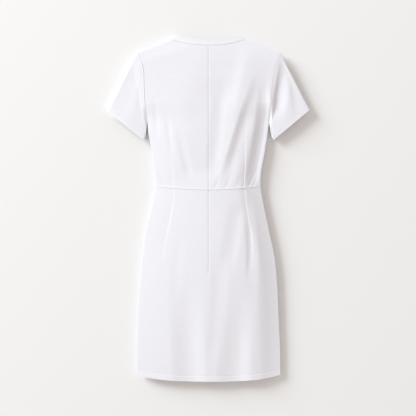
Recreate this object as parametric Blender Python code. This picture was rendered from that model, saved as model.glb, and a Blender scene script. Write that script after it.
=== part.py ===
"""Short-sleeved white knit dress with a waist seam, laid on its front, back uppermost.

The dress lies in the XY plane with its neck towards +Y and its hem towards -Y, and rests on
z = 0. The back is a softly domed upper skin, the front is the flat skin under it, and both
meet at the side and shoulder seams, so the dress keeps the hollow that its cut gives it.
Each cloth piece is a closed wall: an outer skin of points from the height functions below,
and the same points set in by the cloth's thickness.
"""
from collections import namedtuple

import bpy
import bmesh
import numpy as np

# Driving dimensions, in metres
CLOTH = 0.0012
HEM_CLOTH = 0.0022
HEM_TURN = 0.016
BAND_CLOTH = 0.0016
SEAM = 0.0003
HALF_SEAM = SEAM / 2
LAYER = CLOTH + HALF_SEAM  # from a seam to the outside of one of the two layers that meet in it

SHOULDER_X = 0.2064
SHOULDER_Y = 0.4530
NECK_X = 0.1106
NECK_Y = 0.4895
BACK_NECK_Y = 0.4720
BACK_NECK_POWER = 2.2
FRONT_NECK_Y = 0.3970
FRONT_NECK_POWER = 2.6
BAND_X = 0.0950
BAND_Y = 0.5025
BACK_BAND_Y = 0.4895
FRONT_BAND_Y = 0.4150
BAND_PULL = 0.0070
SHOULDER_HEIGHT = 0.0185

UNDERARM_Y = 0.2500
ARMHOLE_HEIGHT = 0.0220
WAIST_Y = 0.0530
WAIST_RISE = 0.0095
WAIST_POWER = 1.6
HEM_SIDE_Y = -0.4840
BACK_HEM_DROP = 0.0185
FRONT_HEM_DROP = 0.0150
HEM_POWER = 3

ZIP_END_Y = -0.1830
ZIP_TAIL = 0.0080
ZIP_TOP_GAP = 0.0030
ZIP_HALF_WIDTH = 0.0120
ZIP_CLOTH = 0.0009
ZIP_GAP = 0.0006
SLIT_SPREAD = 0.0070
SLIT_FADE = 0.0500

# How a skin turns up from its edge: a share of the height in a small round, the rest on a slope
SIDE_SHARE = 0.06
SIDE_ROUND = 0.004
FRONT_SHARE = 0.35
FRONT_ROUND = 0.007
FRONT_SLOPE = 0.028
SHOULDER_SHARE = 0.30
SHOULDER_ROUND = 0.008
SHOULDER_SLOPE = 0.045
UNDERARM_SHARE = 0.60
UNDERARM_ROUND = 0.009
UNDERARM_SLOPE = 0.050
ARMHOLE_RISE = 0.060
SHARE_FADE = 0.030
FOLD_CLEAR = 0.014
STRAIGHT_SHARE = 0.6

# How finely the panels are sampled, and the widths that turn a distance into a share
ROUND_ANGLES = (0, 30, 60, 90)
NECK_COLUMNS = 7
YOKE_COLUMNS = 7
SIDE_ROWS = 8
ARMHOLE_ROWS = 8
SKIRT_BACK_COLUMNS = 14
SKIRT_BACK_ROWS = 19
SKIRT_FRONT_COLUMNS = 9
SKIRT_FRONT_ROWS = 10
ZIP_ROWS = 26
BAND_ROWS = 3
SLEEVE_ROWS = (0.0, 0.10, 0.24, 0.40, 0.57, 0.74)
HEM_STEP = 0.001
BODICE_SIDE_X = 0.175
SKIRT_SIDE_X = 0.190
COLLAR_SLANT = 0.42
TOUCH = 1e-6

# Colours, linear, and roughness
WHITE = (0.87, 0.86, 0.89)
BAND_WHITE = (0.88, 0.87, 0.90)
TAPE_WHITE = (0.84, 0.83, 0.86)
KNIT_ROUGHNESS = 0.80
BAND_ROUGHNESS = 0.78
TAPE_ROUGHNESS = 0.70
SHARP_ANGLE = 40

# Half widths, side seam height, top height, how far in the top lies and the right slope's width
Section = namedtuple("Section", "y left right seam crown left_reach right_slope")
SECTIONS = (
    Section(-0.5100, 0.2072, 0.2084, 0.0145, 0.0215, 0.235, 0.062),
    Section(-0.4110, 0.2074, 0.2080, 0.0150, 0.0245, 0.235, 0.064),
    Section(-0.3240, 0.2055, 0.2040, 0.0155, 0.0265, 0.235, 0.064),
    Section(-0.2370, 0.2001, 0.2004, 0.0160, 0.0280, 0.230, 0.064),
    Section(-0.1500, 0.1929, 0.1929, 0.0165, 0.0290, 0.225, 0.062),
    Section(-0.0630, 0.1805, 0.1755, 0.0170, 0.0290, 0.215, 0.060),
    Section(0.0240, 0.1605, 0.1572, 0.0175, 0.0285, 0.195, 0.062),
    Section(0.0630, 0.1525, 0.1512, 0.0175, 0.0285, 0.185, 0.070),
    Section(0.1000, 0.1548, 0.1524, 0.0180, 0.0290, 0.185, 0.080),
    Section(0.1650, 0.1637, 0.1635, 0.0180, 0.0300, 0.190, 0.080),
    Section(0.2160, 0.1740, 0.1715, 0.0175, 0.0300, 0.195, 0.066),
    Section(0.2500, 0.1772, 0.1758, 0.0172, 0.0295, 0.200, 0.060),
    Section(0.3080, 0.1840, 0.1800, 0.0172, 0.0285, 0.205, 0.070),
    Section(0.3430, 0.1858, 0.1802, 0.0172, 0.0275, 0.205, 0.080),
    Section(0.3780, 0.1866, 0.1832, 0.0172, 0.0265, 0.205, 0.090),
    Section(0.4010, 0.1879, 0.1876, 0.0172, 0.0255, 0.205, 0.090),
    Section(0.4300, 0.1956, 0.1952, 0.0172, 0.0245, 0.210, 0.090),
    Section(0.4530, 0.2064, 0.2064, 0.0172, 0.0235, 0.215, 0.090),
    Section(0.5030, 0.2064, 0.2064, 0.0172, 0.0210, 0.215, 0.090),
)

# How much lower the right side seam lies than the left, and over what width it falls
RIGHT_FALL = 0.0040
FALL_WIDTH = 0.2400

# Folds in the upper skin: where the bottom runs, its flanks and depth; a ridge's is negative
Fold = namedtuple(
    "Fold", "name top bottom top_x middle_x bottom_x left right depth fade_top fade_bottom"
)
BODY_FOLDS = (
    Fold("back middle", 0.420, 0.058, 0.044, 0.030, -0.004, 0.120, 0.052, 0.0022, 0.12, 0.06),
    Fold("back right", 0.410, 0.058, 0.160, 0.100, 0.048, 0.026, 0.044, 0.0038, 0.16, 0.10),
    Fold("right side", 0.380, 0.058, 0.166, 0.149, 0.120, 0.022, 0.032, 0.0030, 0.10, 0.05),
    Fold("right hip", 0.056, -0.270, 0.106, 0.126, 0.128, 0.022, 0.020, 0.0014, 0.06, 0.14),
    Fold("hem left", -0.160, -0.590, -0.066, -0.058, -0.050, 0.056, 0.050, 0.0030, 0.26, 0.07),
    Fold("hem right", -0.200, -0.590, 0.092, 0.080, 0.068, 0.056, 0.050, 0.0028, 0.24, 0.07),
    Fold("hem crest", -0.240, -0.590, 0.122, 0.126, 0.128, 0.040, 0.046, -0.0012, 0.20, 0.07),
)

# The same for the sleeves, which crease less on the left than on the right
LEFT_SLEEVE_FOLDS = (
    Fold("armhole crease", 0.456, 0.250, 0.214, 0.202, 0.186, 0.014, 0.022, 0.0008, 0.05, 0.06),
    Fold("outer crease", 0.430, 0.235, 0.222, 0.240, 0.252, 0.018, 0.026, 0.0010, 0.07, 0.09),
)
RIGHT_SLEEVE_FOLDS = (
    Fold("armhole crease", 0.456, 0.250, 0.218, 0.207, 0.190, 0.018, 0.040, 0.0026, 0.05, 0.06),
    Fold("outer crease", 0.445, 0.235, 0.224, 0.248, 0.258, 0.016, 0.030, 0.0016, 0.07, 0.09),
)

# The sleeves: the outer and inner ends of the cuff, and the fold that tucks under the body
Sleeve = namedtuple("Sleeve", "name side folds tip_x tip_y corner_x corner_y tuck_x tuck_y")
SLEEVES = (
    Sleeve("sleeve_left", -1, LEFT_SLEEVE_FOLDS,
           0.2941, 0.2820, 0.1905, 0.1990, 0.1750, 0.2175),
    Sleeve("sleeve_right", 1, RIGHT_SLEEVE_FOLDS,
           0.2941, 0.2860, 0.1890, 0.1985, 0.1728, 0.2160),
)
TIP_HEIGHT = 0.0130
TUCK_HEIGHT = 0.0140
SLEEVE_HEIGHT = 0.0218
CUFF_HEIGHT = 0.0200
UNDER_CUFF_LIFT = 0.0045
CUFF_CORNER = 0.78
CUFF_TAPER = 0.10
TUCK_PACE = 1.4
SLEEVE_SHARE = 0.55
SLEEVE_ROUND = 0.008
SLEEVE_SLOPE = 0.022
ARMHOLE_BLEND = 0.30
CUFF_TURN = 0.017
SLEEVE_LENGTH = 0.190

# Directions in which a sleeve's lengthwise lines leave the armhole and reach the cuff, at shares
# of the way from its outer fold to its tuck
Lead = namedtuple("Lead", "share start_x start_y end_x end_y")
LEADS = (
    Lead(0.00, 0.0880, -0.1690, 0.0880, -0.1690),
    Lead(0.25, 0.0950, -0.1050, 0.0850, -0.1250),
    Lead(0.50, 0.0800, -0.0620, 0.0720, -0.1000),
    Lead(0.75, 0.0540, -0.0420, 0.0360, -0.0740),
    Lead(1.00, 0.0000, -0.0330, -0.0040, -0.0330),
)


def through(table, name, at):
    """Smooth curve through one column of a table, read at a value of its first column."""
    y = np.array([row[0] for row in table])
    value = np.array([getattr(row, name) for row in table])
    slope = np.gradient(value, y)
    at = np.clip(at, y[0], y[-1])
    i = np.clip(np.searchsorted(y, at) - 1, 0, len(y) - 2)
    span = y[i + 1] - y[i]
    t = (at - y[i]) / span
    start = (1 + 2 * t) * (1 - t) ** 2 * value[i] + t * (1 - t) ** 2 * span * slope[i]
    end = t ** 2 * (3 - 2 * t) * value[i + 1] - t ** 2 * (1 - t) * span * slope[i + 1]
    return start + end


def smooth(t):
    """Ease from 0 to 1."""
    t = np.clip(t, 0.0, 1.0)
    return t * t * (3 - 2 * t)


def turn(distance, share, round_width, slope_width):
    """Height share at a distance in from an edge: a quarter round, then a slope that levels off."""
    t = np.clip(distance / round_width, 0.0, 1.0)
    rounded = np.sqrt(np.maximum(0.0, 1 - (1 - t) ** 2))
    grade = 2 / (1 + STRAIGHT_SHARE)
    s = np.clip(distance / slope_width, 0.0, 1.0)
    levelling = 1 - grade * (1 - s) ** 2 / (2 * (1 - STRAIGHT_SHARE))
    sloped = np.where(s < STRAIGHT_SHARE, grade * s, levelling)
    return share * rounded + (1 - share) * sloped


def dome(distance, share, round_width, reach):
    """Height share in from the left edge: a quarter round, then an arch that tops at its reach."""
    t = np.clip(distance / round_width, 0.0, 1.0)
    rounded = np.sqrt(np.maximum(0.0, 1 - (1 - t) ** 2))
    return share * rounded + (1 - share) * (1 - (1 - distance / reach) ** 2)


def half_width(x, y):
    """Distance from the centre line to the side or the armhole, on the side of x."""
    return np.where(x < 0, through(SECTIONS, "left", y), through(SECTIONS, "right", y))


def shoulder_line(x):
    """Y of the shoulder seam's line, carried on over the neck."""
    fall = (NECK_Y - SHOULDER_Y) / (SHOULDER_X - NECK_X)
    return NECK_Y - fall * (np.abs(x) - NECK_X)


def shoulder_distance(x, y):
    """Distance in from the shoulder seam's line."""
    fall = (NECK_Y - SHOULDER_Y) / (SHOULDER_X - NECK_X)
    return (shoulder_line(x) - y) / np.sqrt(1 + fall ** 2)


def shoulder_turn(x, y):
    return turn(shoulder_distance(x, y), SHOULDER_SHARE, SHOULDER_ROUND, SHOULDER_SLOPE)


def underarm_turn(y):
    return turn(y - UNDERARM_Y, UNDERARM_SHARE, UNDERARM_ROUND, UNDERARM_SLOPE)


def fold_depth(folds, x, y):
    """Depth of all folds of a table at a point."""
    depth = np.zeros(np.broadcast(x, y).shape)
    for fold in folds:
        t = np.clip((fold.top - y) / (fold.top - fold.bottom), 0.0, 1.0)
        line = ((1 - t) * (1 - 2 * t) * fold.top_x + 4 * t * (1 - t) * fold.middle_x
                + t * (2 * t - 1) * fold.bottom_x)
        off = x - line
        flank = np.abs(off) / np.where(off < 0, fold.left, fold.right)
        bell = np.clip(1 - flank ** 2, 0.0, 1.0) ** 2
        ends = smooth((fold.top - y) / fold.fade_top) * smooth((y - fold.bottom) / fold.fade_bottom)
        depth = depth + fold.depth * bell * ends
    return depth


def seam_height(x, y):
    """Height of the side seams, the right one lower, eased from one to the other between them."""
    return through(SECTIONS, "seam", y) - RIGHT_FALL * smooth(x / FALL_WIDTH + 0.5)


def back_height(x, y):
    """Height of the dress's upper outer skin."""
    seam = seam_height(x, y) + LAYER
    edge = seam + (ARMHOLE_HEIGHT - seam) * smooth((y - UNDERARM_Y) / ARMHOLE_RISE)
    crown = through(SECTIONS, "crown", y)
    left_in = np.maximum(0.0, through(SECTIONS, "left", y) + x)
    right_in = np.maximum(0.0, through(SECTIONS, "right", y) - x)
    share = SIDE_SHARE * (1 - smooth((y - UNDERARM_Y) / SHARE_FADE))
    rise = dome(left_in, share, SIDE_ROUND, through(SECTIONS, "left_reach", y))
    rise = rise * turn(right_in, share, SIDE_ROUND, through(SECTIONS, "right_slope", y))
    clear = smooth(np.minimum(left_in, right_in) / FOLD_CLEAR)
    height = edge + (crown - edge) * rise - fold_depth(BODY_FOLDS, x, y) * clear
    shoulder = SHOULDER_HEIGHT + LAYER
    return shoulder + (height - shoulder) * shoulder_turn(x, y)


def front_height(x, y):
    """Height of the dress's lower outer skin, which lies flat on the floor."""
    edge = (seam_height(x, y) - LAYER) * (1 - underarm_turn(y))
    inward = np.maximum(0.0, half_width(x, y) - np.abs(x))
    height = edge * (1 - turn(inward, FRONT_SHARE, FRONT_ROUND, FRONT_SLOPE))
    shoulder = SHOULDER_HEIGHT - LAYER
    return shoulder + (height - shoulder) * shoulder_turn(x, y)


def round_steps(radius):
    """Distances in from an edge that follow a quarter round evenly."""
    return [radius * (1 - np.cos(np.radians(angle))) for angle in ROUND_ANGLES]


def across_samples():
    """Shares of the half width at which the bodice is sampled, centre to side."""
    neck = NECK_X / SHOULDER_X
    width = SHOULDER_X * COLLAR_SLANT
    collar = [neck - step / width for step in reversed(round_steps(SHOULDER_ROUND))]
    side = [1 - step / BODICE_SIDE_X for step in reversed(round_steps(SIDE_ROUND))]
    middle = list(np.linspace(0.0, collar[0], NECK_COLUMNS)[:-1])
    yoke = list(np.linspace(neck, side[0], YOKE_COLUMNS)[1:-1])
    return np.array(middle + collar + yoke + side)


def up_samples():
    """Shares of the side's height at which the bodice is sampled, waist to shoulder."""
    waist = waist_line(1.0)
    top = [SHOULDER_Y - step for step in reversed(round_steps(SHOULDER_ROUND))]
    under = [UNDERARM_Y + step for step in round_steps(UNDERARM_ROUND)]
    side = list(np.linspace(waist, UNDERARM_Y, SIDE_ROWS)[:-1])
    arm = list(np.linspace(under[-1], top[0], ARMHOLE_ROWS)[1:-1])
    return (np.array(side + under + arm + top) - waist) / (SHOULDER_Y - waist)


def waist_line(u):
    """Y of the waist seam at a share of the half width."""
    return WAIST_Y + WAIST_RISE * np.abs(u) ** WAIST_POWER


def neck_curve(x, low, high, end_x, power):
    """Y of a neckline that falls from its shoulder end to its centre."""
    return low + (high - low) * (np.abs(x) / end_x) ** power


def top_line(u, centre_y, power):
    """Y of a bodice panel's top edge: its neckline, then the shoulder seam."""
    x = np.asarray(u) * SHOULDER_X
    neckline = neck_curve(x, centre_y, NECK_Y, NECK_X, power)
    return np.where(np.abs(x) < NECK_X, neckline, shoulder_line(x))


def grid_normals(points, ring=False):
    """Unit normal at each point of a grid, from the cells round it."""
    grid = np.concatenate([points, points[:, :1]], axis=1) if ring else points
    cell = np.cross(grid[1:, 1:] - grid[:-1, :-1], grid[1:, :-1] - grid[:-1, 1:])
    total = np.zeros_like(grid)
    for rows in (slice(None, -1), slice(1, None)):
        for columns in (slice(None, -1), slice(1, None)):
            total[rows, columns] += cell
    if ring:
        total[:, 0] += total[:, -1]
        total = total[:, :-1]
    return unit(total)


def unit(vectors):
    return vectors / np.linalg.norm(vectors, axis=-1, keepdims=True)


def square_to(normals, *axes):
    """Take one or two axes out of some normals, so that a rim is cut square to them."""
    flat = normals.copy()
    flat[..., axes] = 0.0
    return unit(flat)


def tube_normals(points, side=1):
    """Unit normals round a flattened tube, out and up at 45 degrees along its two folds."""
    normals = grid_normals(points, ring=True) * side
    folds = (0, points.shape[1] // 2)
    normals[:, folds] = unit(square_to(normals[:, folds], 2) + np.array([0.0, 0.0, 1.0]))
    return normals


def knit(name, colour, roughness):
    """White knit cloth."""
    material = bpy.data.materials.new(name)
    material.use_nodes = True
    shader = material.node_tree.nodes["Principled BSDF"]
    shader.inputs["Base Color"].default_value = (*colour, 1.0)
    shader.inputs["Roughness"].default_value = roughness
    shader.inputs["Metallic"].default_value = 0.0
    return material


def cloth_wall(name, outer, inset, material, keep=None, ring=False):
    """Closed wall between a grid of outer points and the same points moved by inset."""
    rows, columns = outer.shape[:2]
    cells_across = columns if ring else columns - 1
    keep = np.ones((rows - 1, cells_across), bool) if keep is None else keep
    skins = (outer.reshape(-1, 3), (outer + inset).reshape(-1, 3))
    mesh = bmesh.new()
    made = {}

    def vertex(skin, row, column):
        key = (skin, row, column % columns)
        if key not in made:
            made[key] = mesh.verts.new(skins[skin][row * columns + column % columns])
        return made[key]

    def kept(row, column):
        if ring:
            column %= cells_across
        inside = 0 <= row < rows - 1 and 0 <= column < cells_across
        return inside and keep[row, column]

    for row in range(rows - 1):
        for column in range(cells_across):
            if not keep[row, column]:
                continue
            loop = [(row, column), (row, column + 1), (row + 1, column + 1), (row + 1, column)]
            mesh.faces.new([vertex(0, *corner) for corner in loop])
            mesh.faces.new([vertex(1, *corner) for corner in reversed(loop)])
            beside = [(row - 1, column), (row, column + 1), (row + 1, column), (row, column - 1)]
            for k, neighbour in enumerate(beside):
                if not kept(*neighbour):
                    start, end = loop[k], loop[(k + 1) % 4]
                    rim = [vertex(0, *end), vertex(0, *start), vertex(1, *start), vertex(1, *end)]
                    mesh.faces.new(rim)
    bmesh.ops.recalc_face_normals(mesh, faces=mesh.faces)
    data = bpy.data.meshes.new(name)
    mesh.to_mesh(data)
    mesh.free()
    data.materials.append(material)
    data.shade_smooth()
    data.set_sharp_from_angle(angle=np.radians(SHARP_ANGLE))
    piece = bpy.data.objects.new(name, data)
    bpy.context.scene.collection.objects.link(piece)
    return piece


def bodice_grid(u, height, neck_y, neck_power):
    """Outer points of a bodice panel, waist row first."""
    v = up_samples()[:, None]
    u = u[None, :]
    side_y = waist_line(1.0) + v * (SHOULDER_Y - waist_line(1.0))
    x = u * half_width(u, side_y)
    y = (1 - v) * (waist_line(u) + HALF_SEAM) + v * top_line(u, neck_y, neck_power)
    return np.stack([x, y, height(x, y)], axis=-1)


def bodice_inset(outer, u, up):
    """Inward step of a bodice panel's points, square at its seams."""
    normals = grid_normals(outer) * up
    side_rows = outer[:, -1, 1] <= UNDERARM_Y + HALF_SEAM
    shoulder = np.abs(u) >= NECK_X / SHOULDER_X - TOUCH
    normals[0] = square_to(normals[0], 1)
    along = np.gradient(outer[-1, :, :2], axis=0)
    out = unit(np.stack([-along[:, 1], along[:, 0], np.zeros(len(u))], axis=-1))
    lean = np.sum(normals[-1] * out, axis=-1, keepdims=True)
    normals[-1] = np.where(shoulder[:, None], normals[-1], normals[-1] - lean * out)
    normals[-1, shoulder] = square_to(normals[-1, shoulder], 0, 1)
    for column in (0, -1):
        if abs(u[column]) == 1:
            normals[side_rows, column] = square_to(normals[side_rows, column], 0, 1)
            outward = np.sign(u[column])
            lean = np.maximum(0.0, normals[~side_rows, column, 0] * outward) * outward
            normals[~side_rows, column, 0] = lean
    normals[:, np.abs(u) == 0] = square_to(normals[:, np.abs(u) == 0], 0)
    return -CLOTH * unit(normals)


def bodice_back(side, name, material):
    """One half of the bodice back, from the centre seam to the armhole."""
    u = across_samples() * side
    outer = bodice_grid(u, back_height, BACK_NECK_Y, BACK_NECK_POWER)
    inset = bodice_inset(outer, u, side)
    outer[:, 0, 0] = side * HALF_SEAM
    return cloth_wall(name, outer, inset, material)


def bodice_front(name, material):
    """The bodice front, one piece, flat on the floor."""
    half = across_samples()
    u = np.concatenate([-half[:0:-1], half])
    outer = bodice_grid(u, front_height, FRONT_NECK_Y, FRONT_NECK_POWER)
    inset = front_inset(outer, u)
    return cloth_wall(name, outer, inset, material)


def front_inset(outer, u):
    """Inward step of the bodice front's points, straight up at its centre."""
    centre = len(u) // 2
    inset = bodice_inset(outer, u, -1)
    inset[:, centre] = np.array([0.0, 0.0, CLOTH])
    return inset


def skirt_samples(inner):
    """Shares of the skirt's half width, from side to side, with a column pair at the slit."""
    side = [1 - step / SKIRT_SIDE_X for step in reversed(round_steps(SIDE_ROUND))]
    half = list(np.linspace(0.0, side[0], inner)[1:-1]) + side
    return np.array([-share for share in reversed(half)] + [0.0, 0.0] + half)


def skirt_rows(steps):
    """Y of each row of skirt points at the side, hem first, with the turned hem's edge."""
    turn_top = HEM_SIDE_Y + HEM_TURN
    upward = np.linspace(turn_top + HEM_STEP, float(waist_line(1.0)), steps)
    return np.concatenate([[HEM_SIDE_Y, turn_top], upward])


def slit_row_y():
    """Y at the side of the row of skirt points that crosses the centre at the zip's end."""
    hem = HEM_SIDE_Y - BACK_HEM_DROP
    share = (ZIP_END_Y - hem) / (WAIST_Y - HALF_SEAM - hem)
    return HEM_SIDE_Y + share * (float(waist_line(1.0)) - HEM_SIDE_Y)


def skirt_grid(u, side_y, height, drop):
    """Outer points of a skirt panel, hem row first."""
    waist = waist_line(1.0)
    v = ((side_y - HEM_SIDE_Y) / (waist - HEM_SIDE_Y))[:, None]
    u = u[None, :]
    x = u * half_width(u, side_y[:, None])
    hem = HEM_SIDE_Y - drop * (1 - np.abs(u) ** HEM_POWER)
    y = (1 - v) * hem + v * (waist_line(u) - HALF_SEAM)
    return np.stack([x, y, height(x, y)], axis=-1)


def skirt_inset(outer, up):
    """Inward step of a skirt panel's points, thicker where the hem is turned up."""
    normals = grid_normals(outer) * up
    for column in (0, -1):
        normals[:, column] = square_to(normals[:, column], 0, 1)
    for row in (0, -1):
        normals[row] = square_to(normals[row], 1)
    thickness = np.full(outer.shape[:2], CLOTH)
    thickness[:2, 1:-1] = HEM_CLOTH
    return -thickness[..., None] * normals


def skirt_back(name, material):
    """The skirt back in one piece, slit at the centre down to the end of the zip."""
    u = skirt_samples(SKIRT_BACK_COLUMNS)
    rows = skirt_rows(SKIRT_BACK_ROWS)
    slit_end = np.argmin(np.abs(rows - slit_row_y()))
    rows[slit_end] = slit_row_y()
    centre = len(u) // 2
    outer = skirt_grid(u, rows, back_height, BACK_HEM_DROP)
    below = np.clip((rows[slit_end] - rows) / SLIT_FADE, 0.0, 1.0)
    spread = HALF_SEAM + (SLIT_SPREAD - HALF_SEAM) * below
    outer[:, centre - 1, 0] = -spread
    outer[:, centre, 0] = spread
    outer[..., 2] = back_height(outer[..., 0], outer[..., 1])
    inset = skirt_inset(outer, 1)
    inset[slit_end:, centre - 1:centre + 1] = (0.0, 0.0, -CLOTH)
    keep = np.ones((len(rows) - 1, len(u) - 1), bool)
    keep[slit_end:, centre - 1] = False
    return cloth_wall(name, outer, inset, material, keep)


def skirt_front(name, material):
    """The skirt front, one piece, flat on the floor."""
    samples = skirt_samples(SKIRT_FRONT_COLUMNS)
    u = np.delete(samples, len(samples) // 2)
    outer = skirt_grid(u, skirt_rows(SKIRT_FRONT_ROWS), front_height, FRONT_HEM_DROP)
    inset = skirt_inset(outer, -1)
    return cloth_wall(name, outer, inset, material)


def sleeve_plan(sleeve, a, b, corner_x, corner_y):
    """Plan position on a sleeve: a runs from the outer fold to the tuck, b from armhole to cuff."""
    y0 = SHOULDER_Y - a * (SHOULDER_Y - UNDERARM_Y)
    x0 = np.abs(half_width(sleeve.side * np.ones_like(y0), y0)) + SEAM
    first = np.clip(a / CUFF_CORNER, 0.0, 1.0)
    second = np.clip((a - CUFF_CORNER) / (1 - CUFF_CORNER), 0.0, 1.0)
    x1 = sleeve.tip_x + first * (corner_x - sleeve.tip_x) + second * (sleeve.tuck_x - corner_x)
    y1 = sleeve.tip_y + first * (corner_y - sleeve.tip_y) + second * (sleeve.tuck_y - corner_y)
    start = (2 * b ** 3 - 3 * b ** 2 + 1, b ** 3 - 2 * b ** 2 + b)
    end = (3 * b ** 2 - 2 * b ** 3, b ** 3 - b ** 2)
    x = start[0] * x0 + start[1] * through(LEADS, "start_x", a) + end[0] * x1
    x = x + end[1] * through(LEADS, "end_x", a)
    y = start[0] * y0 + start[1] * through(LEADS, "start_y", a) + end[0] * y1
    y = y + end[1] * through(LEADS, "end_y", a)
    return x, y


def sleeve_grid(sleeve, b):
    """Outer points of a sleeve, armhole row first, round the top and back underneath."""
    rows = waist_line(1.0) + up_samples() * (SHOULDER_Y - waist_line(1.0))
    arm = rows[rows >= UNDERARM_Y - TOUCH][::-1]
    a = (SHOULDER_Y - arm) / (SHOULDER_Y - UNDERARM_Y)
    a[np.argmin(np.abs(a - CUFF_CORNER))] = CUFF_CORNER
    a = a[None, :]
    b = b[:, None]
    join = smooth(b / ARMHOLE_BLEND)
    reach = SLEEVE_LENGTH * (1 - CUFF_TAPER * b)
    middle = (1 - a) * (SHOULDER_HEIGHT + b * (TIP_HEIGHT - SHOULDER_HEIGHT))
    seam = seam_height(sleeve.side * SHOULDER_X, UNDERARM_Y)
    middle = middle + a * (seam + smooth(b * TUCK_PACE) * (TUCK_HEIGHT - seam))
    turned = turn(a * reach, SLEEVE_SHARE, SLEEVE_ROUND, SLEEVE_SLOPE)
    turned = turned * turn((1 - a) * reach, SLEEVE_SHARE, UNDERARM_ROUND, SLEEVE_SLOPE)

    x, y = sleeve_plan(sleeve, a, b, sleeve.corner_x, sleeve.corner_y)
    crown = SLEEVE_HEIGHT + b * (CUFF_HEIGHT - SLEEVE_HEIGHT)
    edge = middle + LAYER
    clear = turned * smooth(a * reach / FOLD_CLEAR)
    top = edge + (crown - edge) * turned - fold_depth(sleeve.folds, x, y) * clear
    arm_y = SHOULDER_Y - a * (SHOULDER_Y - UNDERARM_Y)
    arm_x = half_width(sleeve.side * np.ones_like(arm_y), arm_y) * sleeve.side
    top = (1 - join) * back_height(arm_x, arm_y) + join * top
    upper = np.stack([x * sleeve.side, y, top], axis=-1)

    low_x = sleeve.corner_x - UNDER_CUFF_LIFT
    low_y = sleeve.corner_y + UNDER_CUFF_LIFT
    x, y = sleeve_plan(sleeve, a, b, low_x, low_y)
    low = (1 - join) * front_height(arm_x, arm_y) + join * (middle - LAYER) * (1 - turned)
    lower = np.stack([x * sleeve.side, y, low], axis=-1)
    return np.concatenate([upper, lower[:, -2:0:-1]], axis=1)


def sleeve(shape, material):
    """One sleeve: a flattened tube from the armhole to the cuff."""
    cuff_rows = [1 - CUFF_TURN / SLEEVE_LENGTH, 1 - (CUFF_TURN - HEM_STEP) / SLEEVE_LENGTH, 1.0]
    b = np.array(list(SLEEVE_ROWS) + cuff_rows)
    outer = sleeve_grid(shape, b)
    normals = tube_normals(outer, shape.side)
    thickness = np.full((len(b), 1, 1), CLOTH)
    thickness[-2:] = HEM_CLOTH
    away = normals[0, :, 0] * shape.side
    normals[0, :, 0] = np.where(away > 0, 0.0, normals[0, :, 0])
    inset = -thickness * unit(normals)
    return cloth_wall(shape.name, outer, inset, material, ring=True)


def neckband(name, material):
    """The neckband: a closed ring of doubled knit along the back and front necklines."""
    u = across_samples()
    x = u[u <= NECK_X / SHOULDER_X + TOUCH] * SHOULDER_X
    x[-1] = NECK_X
    half = np.concatenate([-x[:0:-1], x])
    across = np.linspace(0.0, 1.0, BAND_ROWS)[:, None]
    strips = []
    for centre, top, power, height in (
        (BACK_NECK_Y, BACK_BAND_Y, BACK_NECK_POWER, back_height),
        (FRONT_NECK_Y, FRONT_BAND_Y, FRONT_NECK_POWER, front_height),
    ):
        seam_y = neck_curve(half, centre, NECK_Y, NECK_X, power)
        edge_x = half * BAND_X / NECK_X
        edge_y = neck_curve(edge_x, top, BAND_Y, BAND_X, power)
        points_x = (1 - across) * half * (1 - BAND_PULL) + across * edge_x
        points_y = (1 - across) * (seam_y + SEAM) + across * edge_y
        points_z = height(half, seam_y) + 0 * across
        strips.append(np.stack([points_x, points_y, points_z], axis=-1))
    back, front = strips
    outer = np.concatenate([back, front[:, -2:0:-1]], axis=1)
    normals = tube_normals(outer)
    width = unit(outer[-1] - outer[0])
    for row in (0, -1):
        along = np.sum(normals[row] * width, axis=-1, keepdims=True)
        normals[row] = unit(normals[row] - along * width)
    return cloth_wall(name, outer, -BAND_CLOTH * normals, material, ring=True)


def zip_tape(name, material):
    """The concealed zip under the centre back seam and the slit below it."""
    x = np.array([-ZIP_HALF_WIDTH, 0.0, ZIP_HALF_WIDTH])[None, :]
    y = np.linspace(ZIP_END_Y - ZIP_TAIL, BACK_NECK_Y - ZIP_TOP_GAP, ZIP_ROWS)[:, None]
    x, y = np.broadcast_arrays(x, y)
    under = back_height(x, y) - CLOTH - ZIP_GAP
    outer = np.stack([x, y, under], axis=-1)
    inset = np.zeros_like(outer)
    inset[..., 2] = -ZIP_CLOTH
    return cloth_wall(name, outer, inset, material)


def centre_on_floor(pieces):
    """Move every piece so that the whole lies on z = 0, centred over the origin."""
    corners = np.array([tuple(vertex.co) for piece in pieces for vertex in piece.data.vertices])
    low, high = corners.min(axis=0), corners.max(axis=0)
    shift = np.array([(low[0] + high[0]) / 2, (low[1] + high[1]) / 2, low[2]])
    for piece in pieces:
        for vertex in piece.data.vertices:
            vertex.co = [vertex.co[k] - shift[k] for k in range(3)]


def main():
    for old in list(bpy.data.objects):
        bpy.data.objects.remove(old, do_unlink=True)
    pieces = [
        bodice_front("bodice_front", knit("bodice front knit", WHITE, KNIT_ROUGHNESS)),
        bodice_back(-1, "bodice_back_left", knit("left back knit", WHITE, KNIT_ROUGHNESS)),
        bodice_back(1, "bodice_back_right", knit("right back knit", WHITE, KNIT_ROUGHNESS)),
        skirt_front("skirt_front", knit("skirt front knit", WHITE, KNIT_ROUGHNESS)),
        skirt_back("skirt_back", knit("skirt back knit", WHITE, KNIT_ROUGHNESS)),
        neckband("neckband", knit("neckband knit", BAND_WHITE, BAND_ROUGHNESS)),
        zip_tape("zip", knit("zip tape", TAPE_WHITE, TAPE_ROUGHNESS)),
    ]
    for shape in SLEEVES:
        pieces.append(sleeve(shape, knit(shape.name + " knit", WHITE, KNIT_ROUGHNESS)))
    centre_on_floor(pieces)


main()
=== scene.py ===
"""White short-sleeved knit dress, laid on its front, seen straight from above.

Every piece is a thin shell on the form of its solid, with the finer creases, darts and seams
placed one by one, and the sewing laid on it.
"""

from collections import namedtuple

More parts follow.
